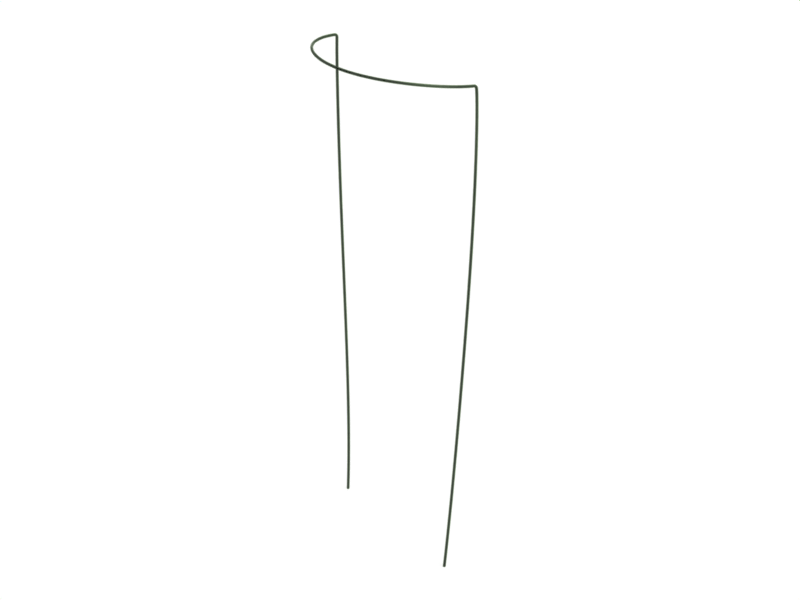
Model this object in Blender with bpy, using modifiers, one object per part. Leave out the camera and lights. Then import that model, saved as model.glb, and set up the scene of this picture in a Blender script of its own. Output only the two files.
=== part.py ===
"""Half-round plant support: one length of plastic-coated steel wire, cold-bent into a
half-round hoop on two long legs that are pushed into the soil.

Metres, +Z up. The hoop bulges towards -Y, the two legs stand at -X and +X, and the lowest
point of the cut ends is at z = 0. The origin is the centre of the object's base rectangle.
"""
import math

import bmesh
import bpy
from mathutils import Vector

# ---------------------------------------------------------------- driving dimensions (metres)
LEG_HEIGHT = 0.9144        # from the cut ends up to the corner of leg and hoop, 36 in
LEG_SPAN = 0.3048          # between the two corners, wire centre to wire centre, 12 in
HOOP_DEPTH_RATIO = 0.974   # depth of the half round over half of the span
HOOP_RISE = 0.176          # the hoop climbs this much per metre away from the legs, 10 degrees
BEND_RADIUS = 0.0070       # of the wire's centreline in the two tight bends

CORE_DIAMETER = 0.00325    # steel wire
COATING_WALL = 0.00047     # plastic jacket
BOND_GAP = 0.00003         # the jacket sits on the steel; this only keeps the solids apart

# The wire comes off a coil, so it is never quite straight or round. All in metres.
#   shoulder: how far the leg springs outwards just below its bend
#   lean:     how far the foot stands from straight below the corner
#   bow:      how far the middle of the leg bulges
#   sway:     size of an S-shaped wander
#   ripple:   size of a W-shaped wander
# (x, y) pairs; +X is to the right and +Y is away from the hoop.
LEFT_LEG = {"shoulder": 0.0012, "lean": (0.0121, 0.0289), "bow": (0.0025, 0.0011), "sway": -0.0034, "ripple": 0.0005}
RIGHT_LEG = {"shoulder": 0.0019, "lean": (-0.0036, -0.0279), "bow": (0.0083, 0.0044), "sway": 0.0014, "ripple": 0.0007}
SHOULDER_REACH = 0.025     # the shoulder fades in over about this length below the corner
# Harmonics of the hoop's radius and of its height, as fractions of half the span.
HOOP_OUT_OF_ROUND = (-0.0021, -0.0028)
HOOP_OUT_OF_FLAT = (-0.0058, 0.0062)

# ---------------------------------------------------------------- tessellation
LEG_SEGMENTS = 18
BEND_SEGMENTS = 8
HOOP_SEGMENTS = 44
SECTION_RESOLUTION = 4     # 12 sides round the wire

HALF_SPAN = LEG_SPAN / 2


def leg_point(side, shape, s):
    """A point of a leg's centreline; s runs from 0 at the corner to 1 at the cut end."""
    bow = 4 * s * (1 - s)
    sway = 10.4 * s * (1 - s) * (1 - 2 * s)
    ripple = 16 * s * (1 - s) * (1 - 5 * s + 5 * s * s)
    shoulder = 1 - math.exp(-s * LEG_HEIGHT / SHOULDER_REACH)
    x = (side * (HALF_SPAN + shape["shoulder"] * shoulder) + shape["lean"][0] * s
         + shape["bow"][0] * bow + shape["sway"] * sway + shape["ripple"] * ripple)
    y = shape["lean"][1] * s + shape["bow"][1] * bow
    return Vector((x, y, LEG_HEIGHT * (1 - s)))


def hoop_point(t):
    """A point of the hoop's centreline; t runs from 0 at the left corner to pi at the right one."""
    r = HALF_SPAN * (1 + HOOP_OUT_OF_ROUND[0] * math.sin(2 * t) + HOOP_OUT_OF_ROUND[1] * math.sin(3 * t))
    y = -r * HOOP_DEPTH_RATIO * math.sin(t)
    warp = HALF_SPAN * (HOOP_OUT_OF_FLAT[0] * math.sin(2 * t) + HOOP_OUT_OF_FLAT[1] * math.sin(3 * t))
    return Vector((-r * math.cos(t), y, LEG_HEIGHT - HOOP_RISE * y + warp))


def bend_points(a, a_dir, b, b_dir):
    """The points strictly between a and b on the round bend that leaves a along a_dir and arrives at b along b_dir."""
    turn = a_dir.angle(b_dir)
    handle = (b - a).length * (2 / 3) * math.tan(turn / 4) / math.sin(turn / 2)
    p1, p2 = a + a_dir * handle, b - b_dir * handle
    points = []
    for i in range(1, BEND_SEGMENTS):
        u = i / BEND_SEGMENTS
        v = 1 - u
        points.append(a * v ** 3 + p1 * (3 * v * v * u) + p2 * (3 * v * u * u) + b * u ** 3)
    return points


def centreline():
    """The whole wire from the left leg's cut end, over the hoop, to the right leg's cut end."""
    tiny = 1e-4
    # Where the straight wire ends and the bend starts, a little before each corner.
    up = (leg_point(-1, LEFT_LEG, 0) - leg_point(-1, LEFT_LEG, tiny)).normalized()
    out = (hoop_point(tiny) - hoop_point(0)).normalized()
    setback = BEND_RADIUS * math.tan(up.angle(out) / 2)
    s0 = setback / LEG_HEIGHT
    t0 = setback / HALF_SPAN

    # Closer points near the bend, where the shoulder is.
    steps = [s0 + (1 - s0) * (i / LEG_SEGMENTS) ** 1.5 for i in range(LEG_SEGMENTS + 1)]
    left = [leg_point(-1, LEFT_LEG, s) for s in reversed(steps)]
    hoop = [hoop_point(t0 + (math.pi - 2 * t0) * i / HOOP_SEGMENTS) for i in range(HOOP_SEGMENTS + 1)]
    right = [leg_point(1, RIGHT_LEG, s) for s in steps]

    left_up = (left[-1] - leg_point(-1, LEFT_LEG, s0 + tiny)).normalized()
    hoop_out = (hoop_point(t0 + tiny) - hoop[0]).normalized()
    hoop_in = (hoop[-1] - hoop_point(math.pi - t0 - tiny)).normalized()
    right_down = (leg_point(1, RIGHT_LEG, s0 + tiny) - right[0]).normalized()

    return (left + bend_points(left[-1], left_up, hoop[0], hoop_out) + hoop
            + bend_points(hoop[-1], hoop_in, right[0], right_down) + right)


def material(name, color, roughness, metallic):
    mat = bpy.data.materials.new(name)
    mat.use_nodes = True
    bsdf = mat.node_tree.nodes["Principled BSDF"]
    bsdf.inputs["Base Color"].default_value = (*color, 1.0)
    bsdf.inputs["Roughness"].default_value = roughness
    bsdf.inputs["Metallic"].default_value = metallic
    return mat


def wire_curve(name, points, radius, caps):
    """A round bar or an open tube along the points."""
    curve = bpy.data.curves.new(name, "CURVE")
    curve.dimensions = "3D"
    curve.bevel_depth = radius
    curve.bevel_resolution = SECTION_RESOLUTION
    curve.use_fill_caps = caps
    curve.twist_mode = "MINIMUM"
    spline = curve.splines.new("POLY")
    spline.points.add(len(points) - 1)
    for point, co in zip(spline.points, points):
        point.co = (*co, 1.0)
    obj = bpy.data.objects.new(name, curve)
    collection.objects.link(obj)
    return obj


def to_mesh(obj):
    """Replaces a curve object by a mesh object of the same name and place."""
    bpy.context.view_layer.update()
    mesh = bpy.data.meshes.new_from_object(obj.evaluated_get(bpy.context.evaluated_depsgraph_get()))
    name, place = obj.name, obj.matrix_world.copy()
    bpy.data.objects.remove(obj)
    bm = bmesh.new()
    bm.from_mesh(mesh)
    bmesh.ops.remove_doubles(bm, verts=bm.verts, dist=1e-6)
    bmesh.ops.recalc_face_normals(bm, faces=bm.faces)
    bm.to_mesh(mesh)
    bm.free()
    new = bpy.data.objects.new(name, mesh)
    new.matrix_world = place
    collection.objects.link(new)
    return new


# ---------------------------------------------------------------- model
for old in list(bpy.data.objects):
    bpy.data.objects.remove(old, do_unlink=True)

collection = bpy.data.collections.new("half_round_plant_support")
bpy.context.scene.collection.children.link(collection)

path = centreline()

# Steel core: a solid round bar with square-cut ends.
steel = to_mesh(wire_curve("steel_wire", path, CORE_DIAMETER / 2, True))
steel.data.materials.clear()
steel.data.materials.append(material("bright_steel", (0.55, 0.55, 0.53), 0.38, 1.0))

# Jacket: an open tube just outside the steel, thickened outwards. It is open at both cut ends.
coating = to_mesh(wire_curve("green_coating", path, CORE_DIAMETER / 2 + BOND_GAP, False))
wall = coating.modifiers.new("wall", "SOLIDIFY")
wall.thickness = COATING_WALL
wall.offset = 1.0
wall.use_even_offset = True
wall.use_rim = True
coating.data.materials.clear()
coating.data.materials.append(material("green_plastic", (0.018, 0.034, 0.018), 0.42, 0.0))

# Both hang from one empty, which puts the base rectangle's centre and the lowest edge of the
# cut ends at the origin.
bpy.context.view_layer.update()
outer = coating.evaluated_get(bpy.context.evaluated_depsgraph_get())
corners = [Vector(c) for c in outer.bound_box]
low = Vector(tuple(min(c[i] for c in corners) for i in range(3)))
high = Vector(tuple(max(c[i] for c in corners) for i in range(3)))
base = bpy.data.objects.new("base_centre", None)
collection.objects.link(base)
base.location = (-(low.x + high.x) / 2, -(low.y + high.y) / 2, -low.z)

for obj in (steel, coating):
    obj.parent = base
    obj.data.shade_smooth()
    obj.data.set_sharp_from_angle(angle=math.radians(50))
bpy.context.view_layer.update()
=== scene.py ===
import math

import bmesh
import bpy
import numpy as np
from mathutils import Matrix, Vector


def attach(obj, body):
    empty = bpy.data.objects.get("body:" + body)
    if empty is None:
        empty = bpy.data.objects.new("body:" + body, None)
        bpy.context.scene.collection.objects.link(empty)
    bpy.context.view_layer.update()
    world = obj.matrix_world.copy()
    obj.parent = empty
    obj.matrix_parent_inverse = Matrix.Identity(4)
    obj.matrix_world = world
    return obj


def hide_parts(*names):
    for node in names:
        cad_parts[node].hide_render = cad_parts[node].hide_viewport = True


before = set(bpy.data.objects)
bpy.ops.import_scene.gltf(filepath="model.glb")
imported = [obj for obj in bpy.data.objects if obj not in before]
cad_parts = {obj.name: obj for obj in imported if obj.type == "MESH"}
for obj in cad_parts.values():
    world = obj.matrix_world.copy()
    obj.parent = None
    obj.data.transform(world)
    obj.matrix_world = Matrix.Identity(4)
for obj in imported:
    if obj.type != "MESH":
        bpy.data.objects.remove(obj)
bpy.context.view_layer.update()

# ---------------------------------------------------------------- the wire's route, in metres
# The same route as the CAD pieces, read far more finely. +Z up, hoop towards -Y.
LEG_HEIGHT = 0.9144
LEG_SPAN = 0.3048
HALF_SPAN = LEG_SPAN / 2
HOOP_DEPTH_RATIO = 0.974
HOOP_RISE = 0.176
BEND_RADIUS = 0.0070
SHOULDER_REACH = 0.025
LEFT_LEG = {"shoulder": 0.0012, "lean": (0.0121, 0.0289), "bow": (0.0025, 0.0011), "sway": -0.0034, "ripple": 0.0005}
RIGHT_LEG = {"shoulder": 0.0019, "lean": (-0.0036, -0.0279), "bow": (0.0083, 0.0044), "sway": 0.0014, "ripple": 0.0007}
HOOP_OUT_OF_ROUND = (-0.0021, -0.0028)
HOOP_OUT_OF_FLAT = (-0.0058, 0.0062)
BASE_CENTRE = np.array((-0.0038374, 0.0599905, 0.0001215))

CORE_RADIUS = 0.001625
BORE_RADIUS = CORE_RADIUS + 0.00003
JACKET_RADIUS = BORE_RADIUS + 0.00047

SIDES = 36                # of the jacket
CORE_SIDES = 48
STRAIGHT_STEP = 0.00150   # between rings on the legs and the hoop
BEND_STEP = 0.00024       # in the two tight bends
END_STEP = 0.00012        # at the cut ends

MM = 0.001
TAU = 2 * math.pi


def leg_line(side, shape, s):
    """Points of a leg's centreline; s runs from 0 at the corner to 1 at the cut end."""
    bow = 4 * s * (1 - s)
    sway = 10.4 * s * (1 - s) * (1 - 2 * s)
    ripple = 16 * s * (1 - s) * (1 - 5 * s + 5 * s * s)
    shoulder = 1 - np.exp(-s * LEG_HEIGHT / SHOULDER_REACH)
    x = (side * (HALF_SPAN + shape["shoulder"] * shoulder) + shape["lean"][0] * s
         + shape["bow"][0] * bow + shape["sway"] * sway + shape["ripple"] * ripple)
    y = shape["lean"][1] * s + shape["bow"][1] * bow
    return np.stack([x, y, LEG_HEIGHT * (1 - s)], -1)


def hoop_line(t):
    """Points of the hoop's centreline; t runs from 0 at the left corner to pi at the right one."""
    r = HALF_SPAN * (1 + HOOP_OUT_OF_ROUND[0] * np.sin(2 * t) + HOOP_OUT_OF_ROUND[1] * np.sin(3 * t))
    y = -r * HOOP_DEPTH_RATIO * np.sin(t)
    warp = HALF_SPAN * (HOOP_OUT_OF_FLAT[0] * np.sin(2 * t) + HOOP_OUT_OF_FLAT[1] * np.sin(3 * t))
    return np.stack([-r * np.cos(t), y, LEG_HEIGHT - HOOP_RISE * y + warp], -1)


def unit(v):
    return v / np.linalg.norm(v, axis=-1, keepdims=True)


def angle_between(a, b):
    return math.acos(float(np.clip(a @ b, -1, 1)))


def bend_line(a, a_dir, b, b_dir, count):
    """The round bend from a to b, without its two end points."""
    turn = angle_between(a_dir, b_dir)
    handle = np.linalg.norm(b - a) * (2 / 3) * math.tan(turn / 4) / math.sin(turn / 2)
    p1, p2 = a + a_dir * handle, b - b_dir * handle
    u = (np.arange(1, count) / count)[:, None]
    v = 1 - u
    return a * v ** 3 + p1 * (3 * v * v * u) + p2 * (3 * v * u * u) + b * u ** 3


def dense_route():
    """Close points along the whole wire, the distance of each along it, and where each bend starts and ends."""
    tiny = 1e-4
    zero = np.array([0.0, tiny])
    first = leg_line(-1, LEFT_LEG, zero)
    start = hoop_line(zero)
    up, out = unit(first[0] - first[1]), unit(start[1] - start[0])
    setback = BEND_RADIUS * math.tan(angle_between(up, out) / 2)
    s0, t0 = setback / LEG_HEIGHT, setback / HALF_SPAN

    s = np.linspace(s0, 1, 3600)
    t = np.linspace(t0, math.pi - t0, 2000)
    left, hoop, right = leg_line(-1, LEFT_LEG, s)[::-1], hoop_line(t), leg_line(1, RIGHT_LEG, s)
    bends = []
    for near, far in ((left, hoop), (hoop, right)):
        bends.append(bend_line(near[-1], unit(near[-1] - near[-2]), far[0], unit(far[1] - far[0]), 160))
    points = np.concatenate([left, bends[0], hoop, bends[1], right]) + BASE_CENTRE
    along = np.concatenate([[0], np.cumsum(np.linalg.norm(np.diff(points, axis=0), axis=1))])
    marks, at = [], 0
    for piece in (left, bends[0], hoop, bends[1]):
        at += len(piece)
        marks.append(float(along[at - 1]))
    return points, along, ((marks[0], marks[1]), (marks[2], marks[3]))


ROUTE, ALONG, BENDS = dense_route()
LENGTH = float(ALONG[-1])


def waves(x, seed, lengths, sizes):
    """A smooth wander along x: one sine for each wavelength, with its own phase."""
    phase = np.random.default_rng(seed).uniform(0, TAU, len(lengths))
    return sum(a * np.sin(TAU * x / w + p) for a, w, p in zip(sizes, lengths, phase))


def smooth(x, low, high):
    u = np.clip((x - low) / (high - low), 0, 1)
    return u * u * (3 - 2 * u)


def to_bend(s):
    """Distance along the wire to the nearest bend, 0 within one."""
    gaps = [np.maximum(np.maximum(a - s, s - b), 0) for a, b in BENDS]
    return np.minimum(*gaps)


def to_end(s):
    return np.minimum(s, LENGTH - s)


def ring_places(straight, bend, end):
    """Where the rings stand along the wire: closer at the bends and at the cut ends."""
    places, s = [0.0], 0.0
    while s < LENGTH:
        step = straight
        near = float(to_bend(s))
        step = min(step, bend + (straight - bend) * float(smooth(near, 0.006, 0.030)))
        step = min(step, end + (straight - end) * float(smooth(float(to_end(s)), 0.0006, 0.012)))
        s += step
        places.append(s)
    places = np.array(places) * (LENGTH / places[-1])
    return places


def frames_at(places):
    """Centre, direction and two cross directions at each place, without twist from one to the next."""
    centre = np.stack([np.interp(places, ALONG, ROUTE[:, k]) for k in range(3)], 1)
    ahead = np.stack([np.interp(np.minimum(places + 6e-5, LENGTH), ALONG, ROUTE[:, k]) for k in range(3)], 1)
    behind = np.stack([np.interp(np.maximum(places - 6e-5, 0), ALONG, ROUTE[:, k]) for k in range(3)], 1)
    way = unit(ahead - behind)
    across = np.zeros_like(way)
    across[0] = unit(np.cross(way[0], (0.0, 1.0, 0.0)))
    for i in range(len(places) - 1):
        # Two reflections carry the cross direction on to the next ring.
        v1 = centre[i + 1] - centre[i]
        c1 = max(v1 @ v1, 1e-18)
        r = across[i] - (2 / c1) * (v1 @ across[i]) * v1
        w = way[i] - (2 / c1) * (v1 @ way[i]) * v1
        v2 = way[i + 1] - w
        c2 = v2 @ v2
        if c2 > 1e-18:
            r = r - (2 / c2) * (v2 @ r) * v2
        across[i + 1] = unit(r - (r @ way[i + 1]) * way[i + 1])
    return centre, way, across, np.cross(way, across)


def inside_of_bends(places, way, across, other):
    """At each ring, the angle round the wire that faces the inside of the nearest bend."""
    angle = np.zeros(len(places))
    for k, (a, b) in enumerate(BENDS):
        before = np.array([np.interp(a, ALONG, ROUTE[:, i]) - np.interp(a - 1e-3, ALONG, ROUTE[:, i]) for i in range(3)])
        after = np.array([np.interp(b + 1e-3, ALONG, ROUTE[:, i]) - np.interp(b, ALONG, ROUTE[:, i]) for i in range(3)])
        inward = unit(after) - unit(before)
        mine = (places < LENGTH / 2) if k == 0 else (places >= LENGTH / 2)
        angle[mine] = np.arctan2(other[mine] @ inward, across[mine] @ inward)
    return angle


def wound(x):
    """An angle brought to -pi..pi."""
    return (x + math.pi) % TAU - math.pi


def bend_window(s, fade):
    """1 within a bend, falling to 0 at this distance from it."""
    return 1 - smooth(to_bend(s), 0, fade)


def bend_offset(s):
    """Distance along the wire from the middle of the nearest bend, towards the hoop."""
    middles = [(a + b) / 2 for a, b in BENDS]
    return np.where(s < LENGTH / 2, s - middles[0], middles[1] - s)


def jacket_radius(s, turn, inner):
    """The jacket's outer radius at distance s along the wire and angle turn round it."""
    psi = wound(turn - inner)
    r = np.full(np.broadcast(s, turn).shape, JACKET_RADIUS)
    # Extrusion: the diameter pulses a little, and the section is never quite round.
    r = r + MM * waves(s, 3, (0.041, 0.067, 0.118, 0.290), (0.0045, 0.006, 0.008, 0.008))
    r = r + MM * 0.009 * np.cos(2 * (turn - 0.9 - 2.1 * s))
    rng = np.random.default_rng(11)
    for _ in range(26):
        n = rng.integers(1, 8)
        length = rng.uniform(0.0045, 0.030)
        r = r + MM * 0.0016 * np.cos(n * turn + rng.choice((-1, 1)) * TAU * s / length + rng.uniform(0, TAU))
    # Two faint flats from the straightening rollers.
    for side in (0.35, 0.35 + math.pi):
        near = wound(turn - side - 0.25 * np.sin(TAU * s / 1.3))
        r = r - MM * 0.010 * np.exp(-((near / 0.34) ** 2))
    # In a bend the section flattens, most where it lay against the former, and bulges sideways.
    w = bend_window(s, 0.0045)
    d = bend_offset(s)
    r = r - MM * 0.080 * w * np.cos(2 * psi)
    r = r - MM * 0.055 * w * np.exp(-((psi / 0.62) ** 2))
    r = r - MM * 0.030 * w * np.exp(-(((np.abs(psi) - math.pi) / 0.75) ** 2))
    # The squeezed side throws small folds beside the contact.
    fold = np.sin(TAU * (d + 0.00022 * np.cos(2.0 * psi)) / 0.00128 + 0.9 * np.sin(psi * 1.7))
    flank = np.exp(-(((np.abs(psi) - 0.78) / 0.36) ** 2)) + 0.25 * np.exp(-((psi / 0.5) ** 2))
    r = r + MM * 0.030 * bend_window(s, 0.0012) * flank * (0.35 + fold)
    # A low swell of plastic where the contact ends, both ways.
    for end in (-1, 1):
        r = r + MM * 0.036 * np.exp(-(((d - end * 0.0063) / 0.0010) ** 2)) * np.exp(-((psi / 0.75) ** 2))
    # The bending roller rode along the outside and left a shallow track on the hoop's side.
    track = smooth(d, 0.0015, 0.0035) * (1 - smooth(d, 0.0125, 0.0150))
    r = r - MM * 0.022 * track * np.exp(-(((np.abs(psi) - math.pi) / 0.42) ** 2))
    # A clamp held the leg below the bend: two shallow facing flats.
    clamp = smooth(-d, 0.0125, 0.0135) * (1 - smooth(-d, 0.0205, 0.0215))
    for side in (math.pi / 2, -math.pi / 2):
        r = r - MM * 0.026 * clamp * np.exp(-((wound(psi - side) / 0.36) ** 4))
    return r


# ---------------------------------------------------------------- meshes
def place(centre, way, across, other, turn, radius, ahead):
    """Points round rings: radius and ahead are (rings, sides)."""
    c, s = np.cos(turn), np.sin(turn)
    return (centre[:, None] + ahead[..., None] * way[:, None]
            + (radius * c)[..., None] * across[:, None] + (radius * s)[..., None] * other[:, None])


def new_object(name, points, faces, attributes, uv_maps, materials):
    mesh = bpy.data.meshes.new(name)
    mesh.from_pydata(points.reshape(-1, 3).tolist(), [], faces)
    for key, values in attributes.items():
        if values.ndim == 2:
            layer = mesh.attributes.new(key, "FLOAT_VECTOR", "POINT")
            layer.data.foreach_set("vector", values.astype(np.float32).ravel())
        else:
            layer = mesh.attributes.new(key, "FLOAT", "POINT")
            layer.data.foreach_set("value", values.astype(np.float32).ravel())
    for key, uv in uv_maps.items():
        layer = mesh.uv_layers.new(name=key)
        layer.uv.foreach_set("vector", uv.astype(np.float32).ravel())
    for m in materials:
        mesh.materials.append(m)
    # The rings above are joined clockwise; turned over, every face looks outwards.
    mesh.flip_normals()
    mesh.update()
    mesh.shade_smooth()
    mesh.set_sharp_from_angle(angle=math.radians(48))
    obj = bpy.data.objects.new(name, mesh)
    bpy.context.scene.collection.objects.link(obj)
    return obj


SHEAR = (2.2, -0.6)          # the angle round the wire that each cutter blade came from
CUT_SET_BACK = 0.05 * MM     # everything stays inside the true length


def rim_depth(turn, end):
    """How far the jacket's cut edge lies inside the true end, round the wire: pulled back on one side, dragged on the other."""
    rng = np.random.default_rng(40 + end)
    d = CUT_SET_BACK + MM * (0.11 + 0.085 * np.cos(turn - SHEAR[end]))
    for n in (2, 3, 5, 7, 9):
        d = d + MM * rng.uniform(0.006, 0.014) * np.cos(n * turn + rng.uniform(0, TAU))
    return d


def build_jacket(material):
    outer = ring_places(STRAIGHT_STEP, BEND_STEP, END_STEP)
    bore = ring_places(0.0068, 0.0009, 0.0004)
    turn = (np.arange(SIDES) / SIDES * TAU)[None, :]

    # Outer skin. Its first and last rings lie where the rounded rim begins.
    start, stop = 0.0005, LENGTH - 0.0005
    places = outer[(outer > start) & (outer < stop)]
    places = np.concatenate([[start], places, [stop]])
    centre, way, across, other = frames_at(places)
    inner = inside_of_bends(places, way, across, other)[:, None]
    s = places[:, None]
    r = jacket_radius(s, turn, inner)
    # A slight swelling just behind the cut, where the blade squeezed the plastic.
    gap = to_end(s)
    r = r + MM * 0.020 * np.exp(-(((gap - 0.0011) / 0.0007) ** 2))
    skin = place(centre, way, across, other, turn, r, np.zeros_like(r))
    strain = np.cos(wound(turn - inner)) * bend_window(s, 0.004)

    # The rim at each end, from the skin round to the bore.
    profile = ((0.34, -0.004), (0.22, -0.012), (0.13, -0.034), (0.065, -0.072), (0.025, -0.125), (0.004, -0.190),
               (0.0, -0.260), (0.006, -0.330), (0.030, -0.395), (0.080, -0.440), (0.16, -0.462))
    rims = []
    for end, at in ((1, stop), (0, start)):
        k = -1 if end else 0
        sign = -1.0 if end else 1.0
        edge = rim_depth(turn[0], end)
        rows_p, rows_r = [], []
        for depth, lower in profile if end else profile[::-1]:
            # The deeper points of the profile keep level with the skin, and the edge follows the cut.
            follow = 1 - smooth(np.array(depth), 0.0, 0.34)
            ahead = sign * (depth * MM + edge * follow + CUT_SET_BACK * (1 - follow))
            radius = np.maximum(r[k] + lower * MM, BORE_RADIUS + 0.004 * MM)
            if lower < -0.45:
                radius = np.full(SIDES, BORE_RADIUS + 0.004 * MM)
            base = ROUTE[-1] if end else ROUTE[0]
            rows_p.append(place(base[None], way[k][None], across[k][None], other[k][None], turn, radius[None], ahead[None])[0])
            rows_r.append(radius)
        rims.append((np.array(rows_p), np.array(rows_r), LENGTH if end else 0.0))

    # The bore, from the right end back to the left one.
    hole = bore[(bore > 0.0012) & (bore < LENGTH - 0.0012)]
    hole = np.concatenate([[0.0006], hole, [LENGTH - 0.0006]])[::-1]
    bc, bw, ba, bo = frames_at(hole[::-1])
    # The bore's own frames start from the same direction as the skin's, so the sides line up.
    bc, bw, ba, bo = bc[::-1], bw[::-1], ba[::-1], bo[::-1]
    for i in (0, -1):
        k = -1 if i == 0 else 0
        ba[i], bo[i] = across[k], other[k]
    br = np.full((len(hole), SIDES), BORE_RADIUS)
    tube = place(bc, bw, ba, bo, turn, br, np.zeros_like(br))

    parts = [skin, rims[0][0], tube, rims[1][0]]
    points = np.concatenate(parts)
    n = len(points)
    along = np.concatenate([places, np.full(len(profile), LENGTH), hole, np.zeros(len(profile))])
    radius = np.concatenate([r, rims[0][1], br, rims[1][1]])
    strains = np.concatenate([-strain, np.zeros((len(profile), SIDES)), np.zeros((len(hole), SIDES)), np.zeros((len(profile), SIDES))])
    faces = []
    for i in range(n):
        k = (i + 1) % n
        for j in range(SIDES):
            m = (j + 1) % SIDES
            faces.append((i * SIDES + j, k * SIDES + j, k * SIDES + m, i * SIDES + m))

    # One strip of the bake's map for each stretch of wire, unrolled.
    rows, pad = 14, 0.0035
    uv = np.zeros((n, SIDES, 4, 2))
    first_strip = np.searchsorted(places, np.linspace(places[0], places[-1], rows))
    first_strip[-1] = len(places) - 1
    side0, side1 = np.arange(SIDES) / SIDES, (np.arange(SIDES) + 1) / SIDES
    for k in range(rows - 1):
        a, b = first_strip[k], first_strip[k + 1]
        low = (k + 0.0) / rows
        u = pad * 0.6 + (1 - 1.2 * pad) * (places[a:b + 1] - places[a]) / (places[b] - places[a])
        v0, v1 = low + (0.03 + 0.94 * side0) / rows, low + (0.03 + 0.94 * side1) / rows
        uv[a:b, :, 0] = np.stack(np.broadcast_arrays(u[:-1, None], v0[None]), -1)
        uv[a:b, :, 1] = np.stack(np.broadcast_arrays(u[1:, None], v0[None]), -1)
        uv[a:b, :, 2] = np.stack(np.broadcast_arrays(u[1:, None], v1[None]), -1)
        uv[a:b, :, 3] = np.stack(np.broadcast_arrays(u[:-1, None], v1[None]), -1)
    low = (rows - 1) / rows
    v0, v1 = low + (0.03 + 0.94 * side0) / rows, low + (0.03 + 0.94 * side1) / rows
    spans = ((len(places) - 1, len(profile) + 1, 0.80, 0.895), (len(places) + len(profile), len(hole) - 1, 0.003, 0.79),
             (len(places) + len(profile) + len(hole) - 1, len(profile) + 1, 0.905, 0.997))
    for a, count, u_low, u_high in spans:
        u = np.linspace(u_low, u_high, count + 1)
        for step in range(count):
            i = a + step
            uv[i, :, 0] = np.stack([np.full(SIDES, u[step]), v0], -1)
            uv[i, :, 1] = np.stack([np.full(SIDES, u[step + 1]), v0], -1)
            uv[i, :, 2] = np.stack([np.full(SIDES, u[step + 1]), v1], -1)
            uv[i, :, 3] = np.stack([np.full(SIDES, u[step]), v1], -1)

    wire = np.stack([radius * np.cos(turn), radius * np.sin(turn), np.broadcast_to(along[:, None], radius.shape)], -1)
    obj = new_object("green_jacket", points, faces,
                     {"wire": wire.reshape(-1, 3), "strain": strains.ravel(),
                      "bore": (np.concatenate([np.zeros(len(places)), np.zeros(len(profile)), np.ones(len(hole)), np.zeros(len(profile))])[:, None]
                               * np.ones(SIDES)).ravel()},
                     {"OFBake": uv.reshape(-1, 2)}, [material])
    return obj


def cut_face(x, y, end):
    """How far the sheared steel face lies inside the true end; x runs from the blade's entry, in radii."""
    rng = np.random.default_rng(70 + end)
    rolled = 0.14 * smooth(-x, 0.55, 1.0) ** 2            # the edge that the blade pushed in
    broken = 0.055 * smooth(x, -0.30, -0.18) * (1 - 0.6 * smooth(x, 0.2, 1.0))   # the torn zone lies a little deeper
    rough = np.zeros_like(x)
    for _ in range(30):
        a, f = rng.uniform(0, TAU), rng.uniform(3, 15)
        rough = rough + 0.0032 * np.sin(f * (x * math.cos(a) + y * math.sin(a)) + rng.uniform(0, TAU))
    burr = -0.045 * smooth(x, 0.86, 0.99)
    return MM * (0.05 + rolled + broken + rough * smooth(x, -0.30, -0.10) + burr + 0.03 * (1 - x))


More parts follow.
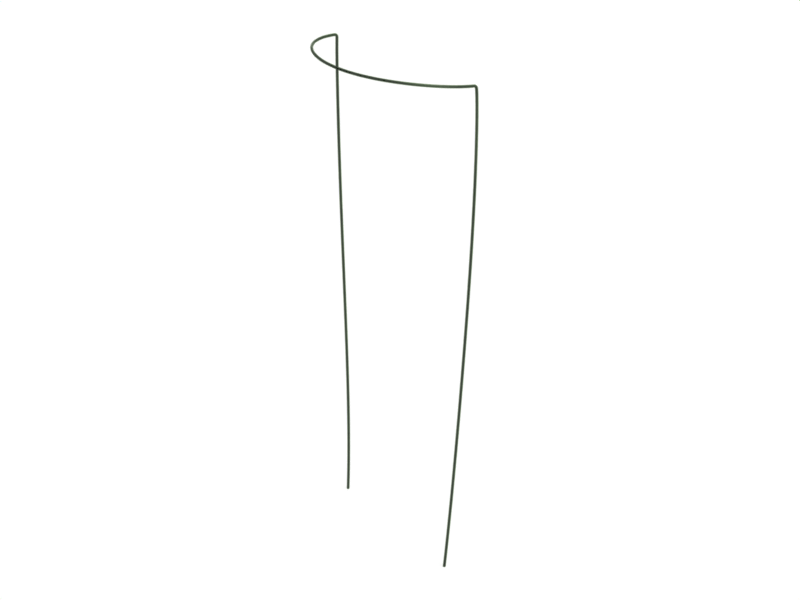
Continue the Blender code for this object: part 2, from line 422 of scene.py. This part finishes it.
def build_core(material):
    places = ring_places(0.0085, 0.0010, 0.0008)
    places = places[(places > 0.0011) & (places < LENGTH - 0.0011)]
    places = np.concatenate([[0.0006], places, [LENGTH - 0.0006]])
    centre, way, across, other = frames_at(places)
    turn = (np.arange(CORE_SIDES) / CORE_SIDES * TAU)[None, :]
    r = np.full((len(places), CORE_SIDES), CORE_RADIUS)
    body = place(centre, way, across, other, turn, r, np.zeros_like(r))

    shares = (1.0, 0.995, 0.975, 0.93, 0.86, 0.77, 0.67, 0.57, 0.47, 0.37, 0.27, 0.17, 0.08)
    caps = []
    for end in (0, 1):
        k = -1 if end else 0
        sign = -1.0 if end else 1.0
        base = ROUTE[-1] if end else ROUTE[0]
        rows = []
        for share in shares:
            x, y = share * np.cos(turn[0] - SHEAR[end]), share * np.sin(turn[0] - SHEAR[end])
            depth = cut_face(-x, y, end)
            if share == 1.0:
                depth = depth + 0.030 * MM
            rows.append(place(base[None], way[k][None], across[k][None], other[k][None], turn,
                              np.full((1, CORE_SIDES), CORE_RADIUS * share), (sign * depth)[None])[0])
        tip = base + way[k] * sign * float(cut_face(np.zeros(1), np.zeros(1), end)[0])
        caps.append((np.array(rows), tip))

    rings = np.concatenate([caps[0][0][::-1], body, caps[1][0]])
    n = len(rings)
    points = np.concatenate([rings.reshape(-1, 3), [caps[0][1], caps[1][1]]])
    faces, uv = [], []
    rows_cap = len(shares)
    share_of = np.concatenate([np.array(shares[::-1]), np.ones(len(places)), np.array(shares)])

    def disc(end, i, j):
        a = turn[0][j % CORE_SIDES]
        radius = 0.235 * (share_of[i] if i is not None else 0.0)
        return (0.25 + 0.5 * end + radius * math.cos(a), 0.26 + radius * math.sin(a))

    for i in range(n - 1):
        for j in range(CORE_SIDES):
            m = (j + 1) % CORE_SIDES
            faces.append((i * CORE_SIDES + j, (i + 1) * CORE_SIDES + j, (i + 1) * CORE_SIDES + m, i * CORE_SIDES + m))
            if i < rows_cap - 1 or i >= n - rows_cap:
                end = 0 if i < rows_cap - 1 else 1
                uv += [disc(end, i, j), disc(end, i + 1, j), disc(end, i + 1, j + 1), disc(end, i, j + 1)]
            else:
                first, last = rows_cap - 1, n - rows_cap
                u0, u1 = 0.004 + 0.992 * (i - first) / (last - first), 0.004 + 0.992 * (i + 1 - first) / (last - first)
                v0, v1 = 0.54 + 0.45 * j / CORE_SIDES, 0.54 + 0.45 * (j + 1) / CORE_SIDES
                uv += [(u0, v0), (u1, v0), (u1, v1), (u0, v1)]
    for end, ring in ((0, 0), (1, n - 1)):
        for j in range(CORE_SIDES):
            m = (j + 1) % CORE_SIDES
            a, b = ring * CORE_SIDES + j, ring * CORE_SIDES + m
            faces.append((len(points) - 2 + end, a, b) if end == 0 else (len(points) - 2 + end, b, a))
            pair = [disc(end, ring, j), disc(end, ring, j + 1)]
            uv += [disc(end, None, j)] + (pair if end == 0 else pair[::-1])

    along = np.concatenate([np.zeros(rows_cap), places, np.full(rows_cap, LENGTH)])
    radius = CORE_RADIUS * share_of[:, None] * np.ones(CORE_SIDES)
    wire = np.stack([radius * np.cos(turn), radius * np.sin(turn), np.broadcast_to(along[:, None], radius.shape)], -1).reshape(-1, 3)
    wire = np.concatenate([wire, [(0, 0, 0), (0, 0, LENGTH)]])
    cut = np.concatenate([np.ones(rows_cap), np.zeros(len(places)), np.ones(rows_cap)])
    cut = np.concatenate([np.repeat(cut, CORE_SIDES), [1, 1]])
    # Where on its cut face a point lies, from the blade's entry across, in radii.
    entry = np.concatenate([[-share_of[i] * np.cos(turn[0] - SHEAR[0 if i < n / 2 else 1])] for i in range(n)]).ravel()
    entry = np.concatenate([entry, [0, 0]])
    return new_object("steel_core", points, faces, {"wire": wire, "cut": cut, "entry": entry},
                      {"OFBake": np.array(uv)}, [material])


# ---------------------------------------------------------------- materials
def new_material(name):
    m = bpy.data.materials.new(name)
    m.use_nodes = True
    tree = m.node_tree
    return m, tree, tree.nodes["Principled BSDF"]


class Graph:
    """Short calls for the nodes that these materials use."""

    def __init__(self, tree):
        self.tree = tree

    def add(self, kind, **values):
        node = self.tree.nodes.new(kind)
        for key, value in values.items():
            setattr(node, key, value)
        return node

    def link(self, out, socket):
        self.tree.links.new(out, socket)

    def attribute(self, name, output="Fac"):
        return self.add("ShaderNodeAttribute", attribute_name=name, attribute_type="GEOMETRY").outputs[output]

    def scaled(self, vector, scale):
        node = self.add("ShaderNodeVectorMath", operation="MULTIPLY")
        self.link(vector, node.inputs[0])
        node.inputs[1].default_value = scale
        return node.outputs["Vector"]

    def noise(self, vector, scale, detail=2.0, roughness=0.5, distortion=0.0):
        node = self.add("ShaderNodeTexNoise")
        self.link(vector, node.inputs["Vector"])
        node.inputs["Scale"].default_value = scale
        node.inputs["Detail"].default_value = detail
        node.inputs["Roughness"].default_value = roughness
        node.inputs["Distortion"].default_value = distortion
        return node.outputs["Fac"]

    def math(self, operation, a, b=None, clamp=False):
        node = self.add("ShaderNodeMath", operation=operation, use_clamp=clamp)
        for socket, value in zip(node.inputs, (a, b)):
            if value is None:
                continue
            if isinstance(value, (int, float)):
                socket.default_value = value
            else:
                self.link(value, socket)
        return node.outputs[0]

    def ranged(self, value, low, high, to_low=0.0, to_high=1.0, kind="SMOOTHSTEP"):
        node = self.add("ShaderNodeMapRange", interpolation_type=kind)
        self.link(value, node.inputs["Value"])
        for key, v in (("From Min", low), ("From Max", high), ("To Min", to_low), ("To Max", to_high)):
            node.inputs[key].default_value = v
        return node.outputs["Result"]

    def mixed(self, factor, a, b):
        node = self.add("ShaderNodeMix", data_type="RGBA", clamp_factor=True)
        factor_in, a_in, b_in = node.inputs[0], node.inputs[6], node.inputs[7]
        self.link(factor, factor_in)
        for socket, value in ((a_in, a), (b_in, b)):
            if isinstance(value, tuple):
                socket.default_value = (*value, 1.0)
            else:
                self.link(value, socket)
        return node.outputs[2]

    def bump(self, height, distance, normal=None, strength=1.0):
        node = self.add("ShaderNodeBump")
        node.inputs["Strength"].default_value = strength
        node.inputs["Distance"].default_value = distance
        self.link(height, node.inputs["Height"])
        if normal is not None:
            self.link(normal, node.inputs["Normal"])
        return node.outputs["Normal"]


def green_plastic():
    """Satin plastic drawn over the wire: dark olive green, with die lines, fine grain and rubbed places, and stretches
    of painted shade and painted highlight.
    """
    m, tree, shader = new_material("green_plastic_jacket")
    g = Graph(tree)
    wire = g.attribute("wire", "Vector")
    strain = g.attribute("strain")
    # Millimetres, with the length drawn out so that patterns run along the wire.
    even = g.scaled(wire, (1000.0, 1000.0, 1000.0))
    long_ = g.scaled(wire, (1000.0, 1000.0, 14.0))
    longer = g.scaled(wire, (1000.0, 1000.0, 3.0))

    cloud = g.noise(g.scaled(wire, (260.0, 260.0, 42.0)), 1.0, 3.0, 0.55)
    drift = g.noise(g.scaled(wire, (90.0, 90.0, 21.0)), 1.0, 2.0, 0.5)
    streak = g.noise(long_, 2.4, 3.0, 0.6)
    lines = g.noise(longer, 7.5, 2.0, 0.55)
    grain = g.noise(even, 3.1, 3.0, 0.62)
    speck = g.noise(even, 9.0, 1.0, 0.5)

    dark, mid, light = (0.0114, 0.0224, 0.0080), (0.0222, 0.0428, 0.0140), (0.0330, 0.0604, 0.0208)
    colour = g.mixed(g.ranged(cloud, 0.36, 0.62), dark, mid)
    # Batches of pigment drift slowly along the length.
    colour = g.mixed(g.ranged(drift, 0.52, 0.68, 0.0, 0.45), colour, light)
    colour = g.mixed(g.ranged(streak, 0.50, 0.80, 0.0, 0.55), colour, light)
    colour = g.mixed(g.ranged(grain, 0.58, 0.80, 0.0, 0.30), colour, dark)
    split = g.add("ShaderNodeSeparateXYZ")
    g.link(wire, split.inputs[0])
    along = split.outputs["Z"]

    def stretch(first, last, fade):
        """1 between two places along the wire, fading to 0 outside them."""
        return g.math("MULTIPLY", g.ranged(along, first - fade, first), g.ranged(along, last + fade, last))

    # Painted shade: the colour is darkened at the top of the left leg and on the front of the hoop. Painted highlight:
    # the colour is made paler to the right of that.
    (leg_top, hoop_start), _ = BENDS
    colour = g.mixed(g.math("MULTIPLY", stretch(leg_top - 0.058, leg_top - 0.012, 0.016), 0.72), colour, (0.0058, 0.0130, 0.0042))
    colour = g.mixed(g.math("MULTIPLY", stretch(hoop_start + 0.232, hoop_start + 0.320, 0.024), 0.60), colour, (0.0052, 0.0125, 0.0036))
    colour = g.mixed(g.math("MULTIPLY", stretch(hoop_start + 0.365, hoop_start + 0.415, 0.022), 0.25), colour, (0.060, 0.096, 0.044))
    # Stretched plastic on the outside of a bend turns a little paler, squeezed plastic a little deeper.
    colour = g.mixed(g.ranged(strain, 0.15, 1.0, 0.0, 0.55), colour, (0.036, 0.066, 0.024))
    colour = g.mixed(g.ranged(strain, -0.15, -1.0, 0.0, 0.45), colour, (0.0098, 0.0260, 0.0054))
    # Handling: a few dull, paler rubs along the wire.
    rub_place = g.noise(g.scaled(wire, (420.0, 420.0, 19.0)), 1.0, 2.0, 0.5)
    rub_hair = g.noise(g.scaled(wire, (2600.0, 2600.0, 160.0)), 1.0, 2.0, 0.6)
    rub = g.math("MULTIPLY", g.ranged(rub_place, 0.62, 0.74), g.ranged(rub_hair, 0.46, 0.66))
    colour = g.mixed(g.math("MULTIPLY", rub, 0.55), colour, (0.050, 0.078, 0.038))
    # Hairline scratches wander lengthwise in places.
    wander = g.noise(g.scaled(wire, (1300.0, 1300.0, 95.0)), 1.0, 1.0, 0.5, 0.4)
    hair = g.ranged(g.math("ABSOLUTE", g.math("SUBTRACT", wander, 0.5)), 0.011, 0.002)
    scratched = g.ranged(g.noise(g.scaled(wire, (500.0, 500.0, 130.0)), 1.0, 1.0, 0.5), 0.52, 0.62)
    scratch = g.math("MULTIPLY", hair, scratched)
    colour = g.mixed(g.math("MULTIPLY", scratch, 0.60), colour, (0.058, 0.084, 0.048))
    # Painted highlight: a pale band for a hand's width at the top of the right leg, where the plastic is also made a
    # little rougher.
    below = BENDS[1][1]
    below_right_bend = g.math("MULTIPLY", g.ranged(along, below + 0.014, below + 0.034), g.ranged(along, below + 0.170, below + 0.085))
    painted_highlight_band = g.math("MULTIPLY", below_right_bend, g.ranged(rub_hair, 0.34, 0.62, 0.45, 1.0, "LINEAR"))
    colour = g.mixed(g.math("MULTIPLY", painted_highlight_band, 0.62), colour, (0.078, 0.108, 0.064))
    # The right leg darkens over its last 20 mm towards the tip.
    darker_tip = g.ranged(g.math("ADD", along, g.ranged(streak, 0.3, 0.7, -0.003, 0.003, "LINEAR")), LENGTH - 0.020, LENGTH - 0.010)
    colour = g.mixed(g.math("MULTIPLY", darker_tip, 0.62), colour, (0.0048, 0.0078, 0.0040))
    g.link(colour, shader.inputs["Base Color"])

    rough = g.ranged(cloud, 0.3, 0.7, 0.28, 0.36, "LINEAR")
    rough = g.math("ADD", rough, g.ranged(lines, 0.35, 0.65, -0.035, 0.035, "LINEAR"))
    rough = g.math("ADD", rough, g.math("MULTIPLY", rub, 0.16))
    rough = g.math("ADD", rough, g.math("MULTIPLY", scratch, 0.18))
    # The band of the painted highlight is also a little rougher.
    rough = g.math("ADD", rough, g.math("MULTIPLY", painted_highlight_band, 0.10))
    rough = g.math("SUBTRACT", rough, g.ranged(strain, -0.3, -1.0, 0.0, 0.10))
    g.link(rough, shader.inputs["Roughness"])
    shader.inputs["Metallic"].default_value = 0.0
    shader.inputs["IOR"].default_value = 1.50

    normal = g.bump(lines, 0.000045)
    normal = g.bump(grain, 0.000060, normal)
    normal = g.bump(speck, 0.000010, normal)
    normal = g.bump(g.math("SUBTRACT", 1.0, scratch), 0.000012, normal)
    g.link(normal, shader.inputs["Normal"])
    return m


def cut_steel():
    """Bright drawn steel with sheared ends: a burnished band where the blade went in, torn metal beyond it."""
    m, tree, shader = new_material("sheared_steel_wire")
    g = Graph(tree)
    wire = g.attribute("wire", "Vector")
    cut = g.attribute("cut")
    entry = g.attribute("entry")
    even = g.scaled(wire, (1000.0, 1000.0, 1000.0))
    drawn = g.noise(g.scaled(wire, (5200.0, 5200.0, 30.0)), 1.0, 3.0, 0.6)
    torn = g.noise(even, 5.5, 4.0, 0.65)
    cloud = g.noise(even, 0.9, 3.0, 0.5)
    # The blade's lines run across the face, along its travel.
    drag = g.noise(g.scaled(wire, (900.0, 5200.0, 900.0)), 1.0, 2.0, 0.5)
    beyond = g.math("MULTIPLY", g.ranged(entry, -0.36, -0.16), cut)

    side = g.mixed(drawn, (0.36, 0.355, 0.345), (0.52, 0.515, 0.50))
    bright = g.mixed(drag, (0.46, 0.455, 0.44), (0.62, 0.615, 0.60))
    rough_metal = g.mixed(torn, (0.20, 0.195, 0.185), (0.42, 0.41, 0.395))
    face = g.mixed(beyond, bright, rough_metal)
    colour = g.mixed(cut, side, face)
    # A breath of first tarnish.
    colour = g.mixed(g.ranged(cloud, 0.55, 0.78, 0.0, 0.35), colour, (0.23, 0.17, 0.12))
    g.link(colour, shader.inputs["Base Color"])
    shader.inputs["Metallic"].default_value = 1.0
    rough = g.math("ADD", g.ranged(drawn, 0.3, 0.7, 0.30, 0.40, "LINEAR"), g.math("MULTIPLY", beyond, 0.20))
    rough = g.math("ADD", rough, g.ranged(torn, 0.3, 0.7, -0.05, 0.07, "LINEAR"))
    g.link(rough, shader.inputs["Roughness"])
    normal = g.bump(g.math("MULTIPLY", torn, g.math("ADD", beyond, 0.12)), 0.000070)
    normal = g.bump(drag, 0.000012, normal)
    g.link(normal, shader.inputs["Normal"])
    return m


jacket = build_jacket(green_plastic())
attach(jacket, "root")
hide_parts("green_coating")

core = build_core(cut_steel())
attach(core, "root")
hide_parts("steel_wire")

# ---------------------------------------------------------------- floor, light and camera
scene = bpy.context.scene


def shown(linear):
    """Screen value of a linear one."""
    return 12.92 * linear if linear <= 0.0031308 else 1.055 * linear ** (1 / 2.4) - 0.055


def unshown(value):
    return value / 12.92 if value <= 0.04045 else ((value + 0.055) / 1.055) ** 2.4


# A contrasty print: above the plastic's own tone each channel of the picture darkens evenly from white,
# so that a wire only a few pixels wide keeps its weight and its green against the white ground.
KNEES = (0.046, 0.055, 0.044)
BOWS = (0.020, 0.0, 0.035)     # how far red and blue sag below that line half way, which greens the wire's soft edge
view = scene.view_settings
view.view_transform = "Standard"
view.look = "None"
view.exposure = 0.0
view.gamma = 1.0
view.use_curve_mapping = True
tone = view.curve_mapping
tone.use_clip = False
tone.extend = "EXTRAPOLATED"
for curve, knee, bow in zip(tone.curves, KNEES, BOWS):
    slope = (1 - shown(knee)) / (1 - knee)
    for share in (0.0, 0.04, 0.10, 0.18, 0.28, 0.40, 0.52, 0.64, 0.76, 0.88):
        x = knee + (1 - knee) * share
        curve.points.new(x, unshown(1 - (1 - x) * slope - 4 * bow * share * (1 - share)))
    for point in curve.points:
        point.handle_type = "AUTO_CLAMPED"
tone.update()
scene.cycles.filter_width = 2.0

FLOOR_SIZE = 40.0
floor_mesh = bpy.data.meshes.new("floor")
h = FLOOR_SIZE / 2
floor_mesh.from_pydata([(-h, -h, 0), (h, -h, 0), (h, h, 0), (-h, h, 0)], [], [(0, 1, 2, 3)])
floor = bpy.data.objects.new("floor", floor_mesh)
floor_paint, _, floor_shader = new_material("pale_floor")
floor_shader.inputs["Base Color"].default_value = (0.06, 0.06, 0.06, 1)
floor_shader.inputs["Roughness"].default_value = 0.9
floor_shader.inputs["Specular IOR Level"].default_value = 0.0
floor_shader.inputs["Emission Color"].default_value = (1, 1, 1, 1)
floor_shader.inputs["Emission Strength"].default_value = 0.925
floor_mesh.materials.append(floor_paint)
scene.collection.objects.link(floor)

# A white backdrop, round like a tent, that only the camera sees.
tent_mesh = bpy.data.meshes.new("backdrop")
bm = bmesh.new()
bmesh.ops.create_uvsphere(bm, u_segments=48, v_segments=24, radius=FLOOR_SIZE * 0.75)
bm.to_mesh(tent_mesh)
bm.free()
tent = bpy.data.objects.new("backdrop", tent_mesh)
tent_paint, _, tent_shader = new_material("white_backdrop")
tent_shader.inputs["Base Color"].default_value = (0, 0, 0, 1)
tent_shader.inputs["Specular IOR Level"].default_value = 0.0
tent_shader.inputs["Emission Color"].default_value = (1, 1, 1, 1)
tent_shader.inputs["Emission Strength"].default_value = 1.02
tent_mesh.materials.append(tent_paint)
scene.collection.objects.link(tent)
for obj in (floor, tent):
    obj.visible_diffuse = obj.visible_glossy = obj.visible_transmission = False
    obj.visible_shadow = False

# Dim studio walls: what light there is comes from the large soft lamps.
world = bpy.data.worlds.new("studio")
world.use_nodes = True
scene.world = world
g = Graph(world.node_tree)
split = g.add("ShaderNodeSeparateXYZ")
g.link(g.add("ShaderNodeTexCoord").outputs["Generated"], split.inputs[0])
background = world.node_tree.nodes["Background"]
background.inputs["Color"].default_value = (1, 1, 1, 1)
g.link(g.ranged(split.outputs["Z"], -0.6, 0.6, 0.03, 0.06, "LINEAR"), background.inputs["Strength"])


def lamp(name, energy, angle, azimuth, elevation, gloss=True):
    """A large soft light a long way off, at azimuth degrees round from +X; without gloss it is a polarised fill."""
    data = bpy.data.lights.new(name, "SUN")
    data.energy = energy
    data.angle = math.radians(angle)
    obj = bpy.data.objects.new(name, data)
    a, e = math.radians(azimuth), math.radians(elevation)
    obj.rotation_euler = Vector((math.cos(a) * math.cos(e), math.sin(a) * math.cos(e), math.sin(e))).to_track_quat("Z", "Y").to_euler()
    obj.visible_glossy = gloss
    scene.collection.objects.link(obj)


lamp("window", 0.8, 50, 0, 14)
lamp("key", 3.1, 60, 0, 26, gloss=False)
lamp("side", 1.9, 60, 346, 0, gloss=False)
lamp("ceiling", 2.7, 38, 20, 56)
lamp("fill", 2.2, 90, 140, 15, gloss=False)
# Low strips of bounce light that draw a sheen down the legs from any side.
for n, azimuth in enumerate((20, 140, 260)):
    lamp(f"bounce_{n}", 0.10, 16, azimuth, -26)
lamp("rim", 0.8, 44, 128, -10)
lamp("back", 0.3, 40, 180, 6)

# The photograph's camera: 90 mm lens on a 36 mm sensor.
CAMERA_AZIMUTH, CAMERA_ELEVATION, CAMERA_ROLL = 0.731853, 0.503670, 0.026165
CAMERA_DISTANCE, CAMERA_TARGET = 3.439132, Vector((-0.0038374, 0.0635700, 0.4701738))
ca, sa = math.cos(CAMERA_AZIMUTH), math.sin(CAMERA_AZIMUTH)
ce, se = math.cos(CAMERA_ELEVATION), math.sin(CAMERA_ELEVATION)
back = Vector((sa * ce, -ca * ce, se))
right = Vector((ca, sa, 0))
upward = back.cross(right)
cr, sr = math.cos(CAMERA_ROLL), math.sin(CAMERA_ROLL)
x_axis, y_axis = cr * right + sr * upward, -sr * right + cr * upward
camera_data = bpy.data.cameras.new("camera")
camera_data.lens = 90.0
camera_data.sensor_width = 36.0
camera_data.clip_end = 200.0
camera = bpy.data.objects.new("camera", camera_data)
turned = Matrix((x_axis, y_axis, back)).transposed().to_4x4()
turned.translation = CAMERA_TARGET + back * CAMERA_DISTANCE
camera.matrix_world = turned
scene.collection.objects.link(camera)
scene.camera = camera
